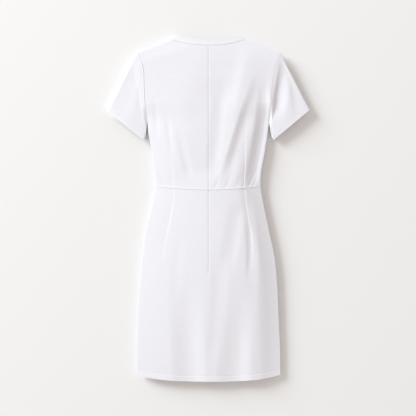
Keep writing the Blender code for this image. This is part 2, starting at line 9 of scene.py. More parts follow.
import bpy
import bmesh
import numpy as np
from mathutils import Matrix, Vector


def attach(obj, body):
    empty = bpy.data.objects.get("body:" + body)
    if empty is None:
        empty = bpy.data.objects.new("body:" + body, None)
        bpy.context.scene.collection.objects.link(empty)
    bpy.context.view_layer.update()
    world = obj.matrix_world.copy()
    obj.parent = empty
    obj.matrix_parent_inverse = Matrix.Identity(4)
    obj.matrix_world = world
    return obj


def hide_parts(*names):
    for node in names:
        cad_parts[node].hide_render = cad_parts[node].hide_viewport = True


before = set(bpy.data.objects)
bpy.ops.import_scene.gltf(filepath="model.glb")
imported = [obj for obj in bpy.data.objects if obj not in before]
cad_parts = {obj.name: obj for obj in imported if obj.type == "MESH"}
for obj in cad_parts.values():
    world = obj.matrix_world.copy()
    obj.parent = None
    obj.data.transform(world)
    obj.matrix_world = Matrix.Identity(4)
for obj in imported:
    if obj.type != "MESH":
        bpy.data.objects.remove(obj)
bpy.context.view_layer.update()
BODY = "root"

# The dress's own sizes, in metres, as its solids have them
CLOTH = 0.0012
HEM_CLOTH = 0.0022
HEM_TURN = 0.016
BAND_CLOTH = 0.0016
SEAM = 0.0003
HALF_SEAM = SEAM / 2
LAYER = CLOTH + HALF_SEAM  # from a seam to the outside of one of the two layers that meet in it

SHOULDER_X = 0.2064
SHOULDER_Y = 0.4530
NECK_X = 0.1106
NECK_Y = 0.4895
SHOULDER_FALL = (NECK_Y - SHOULDER_Y) / (SHOULDER_X - NECK_X)
BACK_NECK_Y = 0.4720
BACK_NECK_POWER = 2.2
FRONT_NECK_Y = 0.3970
FRONT_NECK_POWER = 2.6
BAND_X = 0.0950
BAND_Y = 0.5025
BACK_BAND_Y = 0.4895
FRONT_BAND_Y = 0.4150
BAND_PULL = 0.0070
BAND_WIDTH = 0.0175
SHOULDER_HEIGHT = 0.0185

UNDERARM_Y = 0.2500
ARMHOLE_HEIGHT = 0.0220
WAIST_Y = 0.0530
WAIST_RISE = 0.0095
WAIST_POWER = 1.6
HEM_SIDE_Y = -0.4840
BACK_HEM_DROP = 0.0185
FRONT_HEM_DROP = 0.0150
HEM_POWER = 3

ZIP_END_Y = -0.1830
ZIP_TAIL = 0.0080
ZIP_TOP_GAP = 0.0030
ZIP_HALF_WIDTH = 0.0120
ZIP_CLOTH = 0.0009
ZIP_GAP = 0.0006

# How the skins turn at their edges: the share of the rise in a quarter round, the round's width
# and the width of the slope that follows it
SIDE_SHARE = 0.02
SIDE_ROUND = 0.004
FRONT_ROUND = 0.007
SHOULDER_SHARE = 0.30
SHOULDER_ROUND = 0.008
SHOULDER_SLOPE = 0.045
UNDERARM_SHARE = 0.60
UNDERARM_ROUND = 0.009
UNDERARM_SLOPE = 0.050
STRAIGHT_SHARE = 0.6  # of a slope, before it levels off
ARMHOLE_RISE = 0.060  # over which the side seam's height becomes the armhole's
SHARE_FADE = 0.030  # above the underarm, over which the side's round ends
FOLD_CLEAR = 0.014  # in from an edge, over which folds fade in
TOUCH = 1e-6

# The lower skin leaves the floor in a long shallow curve, so its edges catch little light
UNDER_SHARE = 0.10
UNDER_SLOPE = 0.060
UNDER_SHOULDER_SLOPE = 0.080
UNDER_SLEEVE_SLOPE = 0.048

# Half widths, side seam height, top height, how far in the top lies and the right slope's width
Section = namedtuple("Section", "y left right seam crown left_reach right_slope")
SECTIONS = (
    Section(-0.5100, 0.2072, 0.2084, 0.0145, 0.0215, 0.235, 0.062),
    Section(-0.4110, 0.2074, 0.2080, 0.0150, 0.0245, 0.235, 0.064),
    Section(-0.3240, 0.2055, 0.2040, 0.0155, 0.0265, 0.235, 0.064),
    Section(-0.2370, 0.2001, 0.2004, 0.0160, 0.0280, 0.230, 0.064),
    Section(-0.1500, 0.1929, 0.1929, 0.0165, 0.0290, 0.225, 0.062),
    Section(-0.0630, 0.1805, 0.1755, 0.0170, 0.0290, 0.215, 0.060),
    Section(0.0240, 0.1605, 0.1572, 0.0175, 0.0285, 0.195, 0.062),
    Section(0.0630, 0.1525, 0.1512, 0.0175, 0.0285, 0.185, 0.070),
    Section(0.1000, 0.1548, 0.1524, 0.0180, 0.0290, 0.185, 0.080),
    Section(0.1650, 0.1637, 0.1635, 0.0180, 0.0300, 0.190, 0.080),
    Section(0.2160, 0.1740, 0.1715, 0.0175, 0.0300, 0.195, 0.066),
    Section(0.2500, 0.1772, 0.1758, 0.0172, 0.0295, 0.200, 0.060),
    Section(0.3080, 0.1840, 0.1800, 0.0172, 0.0285, 0.205, 0.070),
    Section(0.3430, 0.1858, 0.1802, 0.0172, 0.0275, 0.205, 0.080),
    Section(0.3780, 0.1866, 0.1832, 0.0172, 0.0265, 0.205, 0.090),
    Section(0.4010, 0.1879, 0.1876, 0.0172, 0.0255, 0.205, 0.090),
    Section(0.4300, 0.1956, 0.1952, 0.0172, 0.0245, 0.210, 0.090),
    Section(0.4530, 0.2064, 0.2064, 0.0172, 0.0235, 0.215, 0.090),
    Section(0.5030, 0.2064, 0.2064, 0.0172, 0.0210, 0.215, 0.090),
)

# How much lower the right side seam lies than the left, and over what width it falls
RIGHT_FALL = 0.0040
FALL_WIDTH = 0.2400

# Folds in the upper skin: where the bottom runs, its flanks and depth; a ridge's is negative
Fold = namedtuple(
    "Fold", "name top bottom top_x middle_x bottom_x left right depth fade_top fade_bottom"
)
BODY_FOLDS = (
    Fold("back middle", 0.420, 0.058, 0.044, 0.030, -0.004, 0.120, 0.052, 0.0022, 0.12, 0.06),
    Fold("back right", 0.410, 0.058, 0.160, 0.100, 0.048, 0.026, 0.044, 0.0038, 0.16, 0.10),
    Fold("right side", 0.380, 0.058, 0.166, 0.149, 0.120, 0.022, 0.032, 0.0030, 0.10, 0.05),
    Fold("right hip", 0.056, -0.270, 0.106, 0.126, 0.128, 0.022, 0.020, 0.0014, 0.06, 0.14),
    Fold("hem left", -0.160, -0.590, -0.066, -0.058, -0.050, 0.056, 0.050, 0.0030, 0.26, 0.07),
    Fold("hem right", -0.200, -0.590, 0.092, 0.080, 0.068, 0.056, 0.050, 0.0028, 0.24, 0.07),
    Fold("hem crest", -0.240, -0.590, 0.122, 0.126, 0.128, 0.040, 0.046, -0.0012, 0.20, 0.07),
)

# Finer creases that the solids leave out
CREASES = (
    Fold("waist fan 1", 0.100, 0.054, 0.034, 0.026, 0.018, 0.009, 0.009, 0.0004, 0.03, 0.012),
    Fold("waist fan 2", 0.104, 0.054, 0.064, 0.058, 0.049, 0.009, 0.009, 0.0005, 0.03, 0.012),
    Fold("waist fan 3", 0.108, 0.056, 0.094, 0.088, 0.081, 0.009, 0.009, 0.0005, 0.03, 0.012),
    Fold("waist fan 4", 0.118, 0.058, 0.139, 0.128, 0.114, 0.008, 0.007, 0.0009, 0.03, 0.010),
    Fold("waist fan 5", 0.112, 0.058, 0.147, 0.138, 0.126, 0.007, 0.007, 0.0006, 0.03, 0.010),
    Fold("left corner", 0.112, 0.060, -0.156, -0.138, -0.114, 0.010, 0.014, 0.0003, 0.03, 0.012),
    Fold("left streak", 0.290, 0.140, -0.122, -0.115, -0.106, 0.010, 0.013, 0.0005, 0.06, 0.06),
    Fold("left underarm", 0.330, 0.180, -0.158, -0.152, -0.150, 0.010, 0.012, 0.0004, 0.05, 0.07),
    Fold("middle back", 0.380, 0.080, 0.040, 0.026, 0.006, 0.026, 0.026, 0.0010, 0.10, 0.08),
    Fold("left rib", 0.250, 0.070, -0.090, -0.072, -0.048, 0.016, 0.018, 0.0007, 0.08, 0.05),
    Fold("skirt drape", 0.030, -0.200, 0.090, 0.072, 0.054, 0.036, 0.026, 0.0012, 0.06, 0.08),
    Fold("skirt right", -0.030, -0.230, 0.114, 0.118, 0.110, 0.010, 0.012, 0.0009, 0.05, 0.08),
    Fold("skirt left", -0.060, -0.300, -0.080, -0.092, -0.100, 0.020, 0.022, 0.0003, 0.08, 0.10),
    Fold("upper back", 0.500, 0.250, 0.078, 0.062, 0.030, 0.120, 0.040, 0.0014, 0.10, 0.12),
    Fold("skirt middle", -0.100, -0.470, 0.030, 0.026, 0.010, 0.028, 0.032, 0.0009, 0.12, 0.10),
)

# The same for the sleeves, which crease less on the left than on the right
LEFT_SLEEVE_FOLDS = (
    Fold("armhole crease", 0.456, 0.250, 0.212, 0.200, 0.184, 0.014, 0.030, 0.0004, 0.05, 0.06),
    Fold("outer crease", 0.430, 0.235, 0.214, 0.232, 0.246, 0.030, 0.050, 0.0008, 0.07, 0.09),
)
RIGHT_SLEEVE_FOLDS = (
    Fold("armhole crease", 0.456, 0.250, 0.216, 0.2035, 0.188, 0.012, 0.036, 0.0033, 0.03, 0.06),
    Fold("outer crease", 0.445, 0.235, 0.224, 0.248, 0.258, 0.016, 0.030, 0.0016, 0.07, 0.09),
)

# Where the darts lie to the left and right of the centre, and how deep they pinch
Dart = namedtuple("Dart", "y left right left_depth right_depth")
DARTS = (
    Dart(-0.5100, 0.1400, 0.1400, 0.0, 0.0),
    Dart(-0.3300, 0.1385, 0.1375, 0.0, 0.0),
    Dart(-0.1700, 0.1357, 0.1280, 0.0, 0.0),
    Dart(-0.1100, 0.1290, 0.1260, 0.00030, 0.00045),
    Dart(-0.0250, 0.1117, 0.1130, 0.00050, 0.00090),
    Dart(0.0530, 0.1028, 0.1034, 0.00030, 0.00085),
    Dart(0.1300, 0.1068, 0.1055, 0.00015, 0.00070),
    Dart(0.2100, 0.1099, 0.1070, 0.0, 0.00020),
    Dart(0.2600, 0.1130, 0.1105, 0.0, 0.0),
    Dart(0.4530, 0.1360, 0.1360, 0.0, 0.0),
)

# The column that lies on a dart, and how far to each side columns bend with it, both as shares of
# the half width
DART_SHARE = 0.66
DART_REACH = 0.12

# How the darts and seams are pressed: the flank on a groove's right, and how many times longer the
# one on its left is. The waist seam has a raised edge above it and a dip below.
DART_FLANK = 0.0036
SKIRT_DART_FLANK = 0.0080
DART_PRESSED = 7.0
WAIST_CLEAR = 0.0060
CENTRE_GROOVE = 0.00038
CENTRE_FLANK = 0.0034
CENTRE_PRESSED = 1.6
CENTRE_FADE = 0.0140
WAIST_RIDGE = 0.00045
WAIST_FLANK = 0.0030
WAIST_DIP = 0.0001
WAIST_ROLL = 0.0040
NECK_GROOVE = 0.00006
NECK_FLANK = 0.0045

# The folded neckband stands a little proud of the back, with a roll along its seam
BAND_ROLL = 0.0003
BAND_ROLL_AT = 0.16
BAND_ROLL_WIDTH = 0.14
BAND_TILT = 0.0001
BAND_CLEAR = 0.70

# Twin needle rows of white thread, the first sunk in a groove: one stitch, and where rows end.
# Real stitches are about 2.5 mm by 0.3 mm. They are drawn a little larger, so that they show.
STITCH_GROOVE = 0.00035
STITCH_FLANK = 0.0022
ROW_GAP = 0.0040
STITCH_LENGTH = 0.0028
STITCH_PITCH = 0.0036
THREAD = 0.00042
HEM_ROW_INSET = FOLD_CLEAR / 4
HEM_ROW_POINTS = 400
CUFF_ROW_ENDS = (0.04, 0.96)
CUFF_ROW_POINTS = 300
BAND_ROW = 0.0045
BAND_ROW_REACH = 0.93
BAND_ROW_POINTS = 200

# The zip's coil: the size and pitch of its turns, and how far each row lies from the centre
COIL_TURN = 0.0024
COIL_PITCH = 0.0014
COIL_WIRE = 0.00035
COIL_OFFSET = COIL_TURN / 3

# Where a stitch or a turn of the coil starts to narrow, as a share of half its length
ROD_SHOULDER = 0.6

# The sleeves: the outer and inner ends of the cuff, the fold that tucks under the body, and how
# far the crown falls towards that fold
Sleeve = namedtuple("Sleeve", "name side folds tip_x tip_y corner_x corner_y tuck_x tuck_y fall")
SLEEVES = (
    Sleeve("sleeve_left", -1, LEFT_SLEEVE_FOLDS,
           0.2941, 0.2820, 0.1905, 0.1990, 0.1835, 0.2085, 0.0006),
    Sleeve("sleeve_right", 1, RIGHT_SLEEVE_FOLDS,
           0.2941, 0.2860, 0.1890, 0.1985, 0.1840, 0.2070, 0.0040),
)
SLEEVE_LENGTH = 0.190
SLEEVE_HEIGHT = 0.0218
CUFF_HEIGHT = 0.0200
CUFF_TURN = 0.017
CUFF_CORNER = 0.78
CUFF_TAPER = 0.10
UNDER_CUFF_LIFT = 0.0045
TIP_HEIGHT = 0.0130
SLEEVE_SHARE = 0.45
SLEEVE_ROUND = 0.005
SLEEVE_SLOPE = 0.080
TUCK_HEIGHT = 0.0140
TUCK_PACE = 1.4
TUCK_SHARE = 0.95
TUCK_ROUND = 0.0012
TUCK_SLOPE = 0.070

# How a sleeve leaves the armhole: the share of its length over which it takes its own height,
# longer by the underarm, and the small ridge that the seam allowance raises beside the seam
ARMHOLE_BLEND = 0.30
UNDERARM_BLEND = 0.30
UNDERARM_POWER = 4
SLEEVE_HEAD = 0.00045
SLEEVE_HEAD_WIDTH = 0.0034

# Directions in which a sleeve's lengthwise lines leave the armhole and reach the cuff, at shares
# of the way from its outer fold to its tuck
Lead = namedtuple("Lead", "share start_x start_y end_x end_y")
LEADS = (
    Lead(0.00, 0.0880, -0.1690, 0.0880, -0.1690),
    Lead(0.25, 0.0950, -0.1050, 0.0850, -0.1250),
    Lead(0.50, 0.0800, -0.0620, 0.0720, -0.1000),
    Lead(0.75, 0.0540, -0.0420, 0.0360, -0.0740),
    Lead(1.00, 0.0050, -0.0330, 0.0080, -0.0330),
)

# Sampling, in metres, coarse on the underside
FINE_STEP = 0.0027
SKIRT_STEP = 0.0030
UNDER_STEP = 0.0065
SEAM_STEPS = (0.0, 0.0007, 0.0015, 0.0026, 0.0042)
HEM_STEP = 0.001
BAND_SHARES = (0.0, 0.05, 0.10, 0.16, 0.22, 0.30, 0.42, 0.56, 0.7, 0.82, 0.91, 0.97, 1.0)
BODICE_SIDE_X = 0.175
SKIRT_SIDE_X = 0.190
SKIRT_HEM_X = 0.207
COLLAR_SLANT = 0.42
SHARP_ANGLE = np.radians(50)


# The dress's form

def through(table, name, at):
    """Smooth curve through one column of a table, read at a value of its first column."""
    y = np.array([row[0] for row in table])
    value = np.array([getattr(row, name) for row in table])
    slope = np.gradient(value, y)
    at = np.clip(at, y[0], y[-1])
    i = np.clip(np.searchsorted(y, at) - 1, 0, len(y) - 2)
    span = y[i + 1] - y[i]
    t = (at - y[i]) / span
    start = (1 + 2 * t) * (1 - t) ** 2 * value[i] + t * (1 - t) ** 2 * span * slope[i]
    end = t ** 2 * (3 - 2 * t) * value[i + 1] - t ** 2 * (1 - t) * span * slope[i + 1]
    return start + end


def smooth(t):
    """Ease from 0 to 1."""
    t = np.clip(t, 0.0, 1.0)
    return t * t * (3 - 2 * t)


def turn(distance, share, round_width, slope_width):
    """Height share at a distance in from an edge: a quarter round, then a slope that levels off."""
    t = np.clip(distance / round_width, 0.0, 1.0)
    rounded = np.sqrt(np.maximum(0.0, 1 - (1 - t) ** 2))
    grade = 2 / (1 + STRAIGHT_SHARE)
    s = np.clip(distance / slope_width, 0.0, 1.0)
    levelling = 1 - grade * (1 - s) ** 2 / (2 * (1 - STRAIGHT_SHARE))
    sloped = np.where(s < STRAIGHT_SHARE, grade * s, levelling)
    return share * rounded + (1 - share) * sloped


def dome(distance, share, round_width, reach):
    """Height share in from the left edge: a quarter round, then an arch that tops at its reach."""
    t = np.clip(distance / round_width, 0.0, 1.0)
    rounded = np.sqrt(np.maximum(0.0, 1 - (1 - t) ** 2))
    return share * rounded + (1 - share) * (1 - (1 - distance / reach) ** 2)


def half_width(x, y):
    """Distance from the centre line to the side or the armhole, on the side of x."""
    return np.where(x < 0, through(SECTIONS, "left", y), through(SECTIONS, "right", y))


def shoulder_line(x):
    """Y of the shoulder seam's line, carried on over the neck."""
    return NECK_Y - SHOULDER_FALL * (np.abs(x) - NECK_X)


def shoulder_distance(x, y):
    """Distance in from the shoulder seam's line."""
    return (shoulder_line(x) - y) / np.sqrt(1 + SHOULDER_FALL ** 2)


def fold_depth(folds, x, y):
    """Depth of all folds of a table at a point."""
    depth = np.zeros(np.broadcast(x, y).shape)
    for fold in folds:
        t = np.clip((fold.top - y) / (fold.top - fold.bottom), 0.0, 1.0)
        line = ((1 - t) * (1 - 2 * t) * fold.top_x + 4 * t * (1 - t) * fold.middle_x
                + t * (2 * t - 1) * fold.bottom_x)
        off = x - line
        flank = np.abs(off) / np.where(off < 0, fold.left, fold.right)
        bell = np.clip(1 - flank ** 2, 0.0, 1.0) ** 2
        ends = smooth((fold.top - y) / fold.fade_top) * smooth((y - fold.bottom) / fold.fade_bottom)
        depth = depth + fold.depth * bell * ends
    return depth


def waist_line(u):
    """Y of the waist seam at a share of the half width."""
    return WAIST_Y + WAIST_RISE * np.abs(u) ** WAIST_POWER


def seam_height(x, y):
    """Height of the side seams, the right one lower, eased from one to the other between them."""
    return through(SECTIONS, "seam", y) - RIGHT_FALL * smooth(x / FALL_WIDTH + 0.5)


def back_height(x, y):
    """Height of the dress's upper outer skin, as the solids have it."""
    seam = seam_height(x, y) + LAYER
    edge = seam + (ARMHOLE_HEIGHT - seam) * smooth((y - UNDERARM_Y) / ARMHOLE_RISE)
    crown = through(SECTIONS, "crown", y)
    left_in = np.maximum(0.0, through(SECTIONS, "left", y) + x)
    right_in = np.maximum(0.0, through(SECTIONS, "right", y) - x)
    share = SIDE_SHARE * (1 - smooth((y - UNDERARM_Y) / SHARE_FADE))
    rise = dome(left_in, share, SIDE_ROUND, through(SECTIONS, "left_reach", y))
    rise = rise * turn(right_in, share, SIDE_ROUND, through(SECTIONS, "right_slope", y))
    clear = smooth(np.minimum(left_in, right_in) / FOLD_CLEAR)
    height = edge + (crown - edge) * rise - fold_depth(BODY_FOLDS, x, y) * clear
    shoulder = SHOULDER_HEIGHT + LAYER
    fall = turn(shoulder_distance(x, y), SHOULDER_SHARE, SHOULDER_ROUND, SHOULDER_SLOPE)
    return shoulder + (height - shoulder) * fall


def front_height(x, y):
    """Height of the dress's lower outer skin, which lies flat on the floor."""
    armhole = turn(y - UNDERARM_Y, UNDERARM_SHARE, UNDERARM_ROUND, UNDERARM_SLOPE)
    edge = (seam_height(x, y) - LAYER) * (1 - armhole)
    inward = np.maximum(0.0, half_width(x, y) - np.abs(x))
    height = edge * (1 - turn(inward, UNDER_SHARE, FRONT_ROUND, UNDER_SLOPE))
    shoulder = SHOULDER_HEIGHT - LAYER
    fall = turn(shoulder_distance(x, y), UNDER_SHARE, SHOULDER_ROUND, UNDER_SHOULDER_SLOPE)
    return shoulder + (height - shoulder) * fall


def pinch(distance, flank, pressed=1.0):
    """A groove: 1 on its line, easing to 0 at its flank, over pressed times that on its left."""
    flank = np.where(distance < 0, flank * pressed, flank)
    return np.clip(1 - np.abs(distance) / flank, 0.0, 1.0) ** 2


def dart_x(x, y):
    """X of the dart's line on the side of x."""
    return np.where(x < 0, -through(DARTS, "left", y), through(DARTS, "right", y))


def dart_depth(x, y):
    """How deep the dart's line is sewn in at this height."""
    depth = np.where(x < 0, through(DARTS, "left_depth", y), through(DARTS, "right_depth", y))
    return np.maximum(0.0, depth)


def hem_line(x, y, drop=BACK_HEM_DROP):
    """Y of the hem's edge at an x."""
    share = np.minimum(1.0, np.abs(x) / half_width(x, y))
    return HEM_SIDE_Y - drop * (1 - share ** HEM_POWER)


def neck_curve(x, low, high, end_x, power):
    """Y of a neckline that falls from its shoulder end to its centre."""
    return low + (high - low) * (np.abs(x) / end_x) ** power


def centre_groove(x):
    """How deep the centre seam is pressed in where the zip lies under it."""
    return CENTRE_GROOVE * pinch(x, CENTRE_FLANK, CENTRE_PRESSED)


def sewn_back(x, y):
    """Height of the upper skin with its creases, darts and pressed seams."""
    inward = np.maximum(0.0, half_width(x, y) - np.abs(x))
    clear = smooth(inward / FOLD_CLEAR)
    height = back_height(x, y) - fold_depth(CREASES, x, y) * clear
    above = y - waist_line(x / half_width(x, y))
    flank = np.where(above < 0, SKIRT_DART_FLANK, DART_FLANK)
    depth = dart_depth(x, y) * smooth(np.abs(above) / WAIST_CLEAR)
    height = height - depth * pinch(x - dart_x(x, y), flank, DART_PRESSED)
    zipped = smooth((y - ZIP_END_Y + CENTRE_FADE) / CENTRE_FADE)
    height = height - zipped * centre_groove(x)
    ridge = WAIST_RIDGE * np.exp(-(above / WAIST_FLANK) ** 2) * (above > 0)
    dip = WAIST_DIP * np.exp(-(above / WAIST_ROLL) ** 2) * (above <= 0)
    neckline = neck_curve(x, BACK_NECK_Y, NECK_Y, NECK_X, BACK_NECK_POWER)
    groove = NECK_GROOVE * pinch(neckline - y, NECK_FLANK) * (np.abs(x) < NECK_X)
    groove = groove + STITCH_GROOVE * pinch(y - hem_line(x, y) - HEM_TURN, STITCH_FLANK)
    return height + (ridge - dip) * clear - groove


def unit(vectors):
    """The same directions, each one long."""
    return vectors / np.linalg.norm(vectors, axis=-1, keepdims=True)


# Grids

def grid_normals(points, ring=False):
    """Unit normal at each point of a grid, from the cells round it."""
    grid = np.concatenate([points, points[:, :1]], axis=1) if ring else points
    cell = np.cross(grid[1:, 1:] - grid[:-1, :-1], grid[1:, :-1] - grid[:-1, 1:])
    total = np.zeros_like(grid)
    for rows in (slice(None, -1), slice(1, None)):
        for columns in (slice(None, -1), slice(1, None)):
            total[rows, columns] += cell
    if ring:
        total[:, 0] += total[:, -1]
        total = total[:, :-1]
    return unit(total)


def square_to(normals, *axes):
    """Take one or two axes out of some normals, so that a rim is cut square to them."""
    flat = normals.copy()
    flat[..., axes] = 0.0
    return unit(flat)


def tube_normals(points, side=1):
    """Unit normals round a flattened tube, out and up at 45 degrees along its two folds."""
    normals = grid_normals(points, ring=True) * side
    folds = (0, points.shape[1] // 2)
    normals[:, folds] = unit(square_to(normals[:, folds], 2) + np.array([0.0, 0.0, 1.0]))
    return normals


def evenly(start, end, step):
    """Even values from start to end, about a step apart."""
    count = max(2, int(round(abs(end - start) / step)) + 1)
    return list(np.linspace(start, end, count))


def near_seam(at):
    """Values packed close on both sides of a seam's line."""
    return [at - step for step in reversed(SEAM_STEPS[1:])] + [at + step for step in SEAM_STEPS]


def rounded_edge(radius):
    """Distances in from an edge that follow a quarter round evenly."""
    return [radius * (1 - np.cos(np.radians(angle))) for angle in (0, 20, 40, 60, 75, 90)]


def near_stitches(at):
    """Values packed evenly on both sides of a row of stitches."""
    return [at + steps * HEM_STEP for steps in (-2, -1, 0, 1, 2)]


def panel_columns(width, step, corner=None):
    """Shares of the half width, centre to side, packed close at the seam, dart and side."""
    dart = near_seam(DART_SHARE * width)
    side = [width - inset for inset in reversed(rounded_edge(SIDE_ROUND))]
    at = list(SEAM_STEPS) + evenly(SEAM_STEPS[-1], dart[0], step)[1:]
    at += dart[1:] + evenly(dart[-1], side[0], step)[1:] + side[1:]
    at = np.array(at) / width
    if corner is not None:
        at[np.argmin(np.abs(at - corner))] = corner
    return at


def follow_darts(u, x, y):
    """Move a panel's columns sideways so that one of them lies on the dart."""
    width = half_width(u, y)
    bump = np.clip(1 - ((np.abs(u) - DART_SHARE) / DART_REACH) ** 2, 0.0, 1.0) ** 2
    return x + bump * (dart_x(u, y) - np.sign(u) * DART_SHARE * width)


# Materials

def linear(hex_colour):
    """An sRGB hex colour as linear red, green, blue and alpha."""
    parts = [int(hex_colour[k:k + 2], 16) / 255 for k in (1, 3, 5)]
    return (*[c / 12.92 if c <= 0.04045 else ((c + 0.055) / 1.055) ** 2.4 for c in parts], 1.0)


def new_material(name, settings):
    """A material and its main shader, with some of the shader's own values."""
    material = bpy.data.materials.new(name)
    material.use_nodes = True
    shader = material.node_tree.nodes["Principled BSDF"]
    for socket, value in settings.items():
        shader.inputs[socket].default_value = value
    return material, shader


def add_node(material, kind, settings=None, links=None):
    """Add a shader node: settings by socket or attribute name, links by input socket."""
    node = material.node_tree.nodes.new(kind)
    for name, value in (settings or {}).items():
        if isinstance(name, int) or name in node.inputs:
            node.inputs[name].default_value = value
        else:
            setattr(node, name, value)
    for name, source in (links or {}).items():
        material.node_tree.links.new(source, node.inputs[name])
    return node


MM = 0.001
WAVE_REPEAT = 0.314  # metres between the bands of a wave texture whose scale is 1
COURSE_SHARE = 0.8  # of the wales' spacing
SLUB = 9 * MM
RELIEF = 0.25 * MM
FIBRE = 2 * MM


def knit_cloth(name, colour, doubled_painted_colour, roughness, wale, bump):
    """Fabric of fine even ribs and rows, a little uneven in tone; painted lighter where it is
    doubled.
    """
    material, shader = new_material(
        name,
        {"Roughness": roughness, "IOR": 1.5, "Specular IOR Level": 0.25, "Sheen Weight": 0.12,
         "Sheen Roughness": 0.5},
    )
    flat = add_node(material, "ShaderNodeUVMap", {"uv_map": "cut"}).outputs["UV"]
    bands = [
        add_node(
            material, "ShaderNodeTexWave",
            {"wave_type": "BANDS", "bands_direction": axis, "Scale": WAVE_REPEAT / spacing,
             "Distortion": waver, "Detail": 1.0, "Detail Scale": 2.0},
            {"Vector": flat},
        ).outputs["Fac"]
        for axis, spacing, waver in (("X", wale, 1.2), ("Y", wale * COURSE_SHARE, 1.6))
    ]
    loops = add_node(
        material, "ShaderNodeMath", {"operation": "MULTIPLY"}, {0: bands[0], 1: bands[1]}
    )
    slub = add_node(
        material, "ShaderNodeTexNoise",
        {"Scale": 1 / SLUB, "Detail": 4.0, "Roughness": 0.6},
        {"Vector": flat},
    )
    relief = add_node(
        material, "ShaderNodeMath", {"operation": "MULTIPLY_ADD", 1: 0.5},
        {0: slub.outputs["Fac"], 2: loops.outputs["Value"]},
    )
    lifted = add_node(
        material, "ShaderNodeBump", {"Strength": bump, "Distance": RELIEF},
        {"Height": relief.outputs["Value"]},
    )
    # Painted light: doubled hems and cuffs take a lighter colour, for less shade of the hollow
    # showing through
    doubled = add_node(
        material, "ShaderNodeAttribute", {"attribute_name": "doubled", "attribute_type": "GEOMETRY"}
    )
    body = add_node(
        material, "ShaderNodeMix",
        {"data_type": "RGBA", 6: linear(colour), 7: linear(doubled_painted_colour)},
        {0: doubled.outputs["Fac"]},
    )
    shade = add_node(
        material, "ShaderNodeMapRange",
        {"From Min": 0.3, "From Max": 0.7, "To Min": 0.975, "To Max": 1.0},
        {"Value": slub.outputs["Fac"]},
    )
    tinted = add_node(
        material, "ShaderNodeMix",
        {"data_type": "RGBA", "blend_type": "MULTIPLY", 0: 1.0},
        {6: body.outputs[2], 7: shade.outputs["Result"]},
    )
    material.node_tree.links.new(tinted.outputs[2], shader.inputs["Base Color"])
    material.node_tree.links.new(lifted.outputs["Normal"], shader.inputs["Normal"])
    return material


def sewing_thread(name, colour, roughness):
    """Polyester fibre: a little shinier than the cloth, its tone a little uneven."""
    material, shader = new_material(name, {"Roughness": roughness, "IOR": 1.55})
    place = add_node(material, "ShaderNodeTexCoord")
    fibre = add_node(
        material, "ShaderNodeTexNoise", {"Scale": 1 / FIBRE, "Detail": 2.0},
        {"Vector": place.outputs["Object"]},
    )
    tone = add_node(
        material, "ShaderNodeMix",
        {"data_type": "RGBA", 6: linear(colour), 7: linear("#FFFFFF")},
        {0: fibre.outputs["Fac"]},
    )
    material.node_tree.links.new(tone.outputs[2], shader.inputs["Base Color"])
    return material


# Meshes

def closed_mesh(name, points, faces):
    """A mesh whose faces all look outward."""
    mesh = bpy.data.meshes.new(name)
    mesh.from_pydata(points.reshape(-1, 3).tolist(), [], faces)
    work = bmesh.new()
    work.from_mesh(mesh)
    bmesh.ops.recalc_face_normals(work, faces=work.faces)
    work.to_mesh(mesh)
    work.free()
    return mesh


def put_in_scene(name, data):
    """An object of some data, linked into the scene."""
    thing = bpy.data.objects.new(name, data)
    bpy.context.scene.collection.objects.link(thing)
    return thing


def add_piece(name, mesh, material):
    """Put a mesh into the scene as one smooth piece of one material."""
    mesh.materials.append(material)
    mesh.shade_smooth()
    return put_in_scene(name, mesh)


def cloth_wall(name, outer, inset, material, cut, doubled=None, keep=None, ring=False):
    """Closed wall between a grid of outer points and the same points moved by inset."""
    rows, columns = outer.shape[:2]
    index = np.arange(rows * columns).reshape(rows, columns)
    if ring:
        index = np.concatenate([index, index[:, :1]], axis=1)
    cells = np.stack([index[:-1, :-1], index[:-1, 1:], index[1:, 1:], index[1:, :-1]], axis=-1)
    cells = cells.reshape(-1, 4) if keep is None else cells[keep]
    count = rows * columns
    skin = cells.tolist()
    sides = {(loop[k], loop[(k + 1) % 4]) for loop in skin for k in range(4)}
    rim = [[b, a, a + count, b + count] for a, b in sorted(sides) if (b, a) not in sides]
    points = np.concatenate([outer.reshape(-1, 3), (outer + inset).reshape(-1, 3)])
    mesh = closed_mesh(name, points, skin + (cells[:, ::-1] + count).tolist() + rim)
    corner = np.zeros(len(mesh.loops), np.int32)
    mesh.loops.foreach_get("vertex_index", corner)
    layer = mesh.uv_layers.new(name="cut")
    layer.data.foreach_set("uv", cut.reshape(-1, 2)[corner % count].astype(np.float32).ravel())
    layers = np.zeros(count)
    if doubled is not None:
        layers = np.broadcast_to(doubled, (rows, columns)).ravel()
    mark = mesh.attributes.new("doubled", "FLOAT", "POINT")
    mark.data.foreach_set("value", np.concatenate([layers, layers]).astype(np.float32))
    piece = add_piece(name, mesh, material)
    mesh.set_sharp_from_angle(angle=SHARP_ANGLE)
    return piece


# Bodice and skirt

def bodice_samples(step):
    """Column shares and row shares of a bodice panel."""
    corner = NECK_X / SHOULDER_X
    u = panel_columns(BODICE_SIDE_X, step, corner)
    width = SHOULDER_X * COLLAR_SLANT
    collar = [corner - inset / width for inset in rounded_edge(SHOULDER_ROUND)[1:]]
    u = np.array(sorted(set(np.round(np.concatenate([u, collar]), 7))))
    waist = float(waist_line(1.0))
    top = [SHOULDER_Y - inset for inset in reversed(rounded_edge(SHOULDER_ROUND))]
    under = [UNDERARM_Y + inset for inset in rounded_edge(UNDERARM_ROUND)]
    rows = [waist + inset for inset in SEAM_STEPS]
    rows += evenly(rows[-1], UNDERARM_Y, step)[1:-1] + under
    rows += evenly(under[-1], top[0], step)[1:] + top[1:]
    return u, (np.array(rows) - waist) / (SHOULDER_Y - waist)


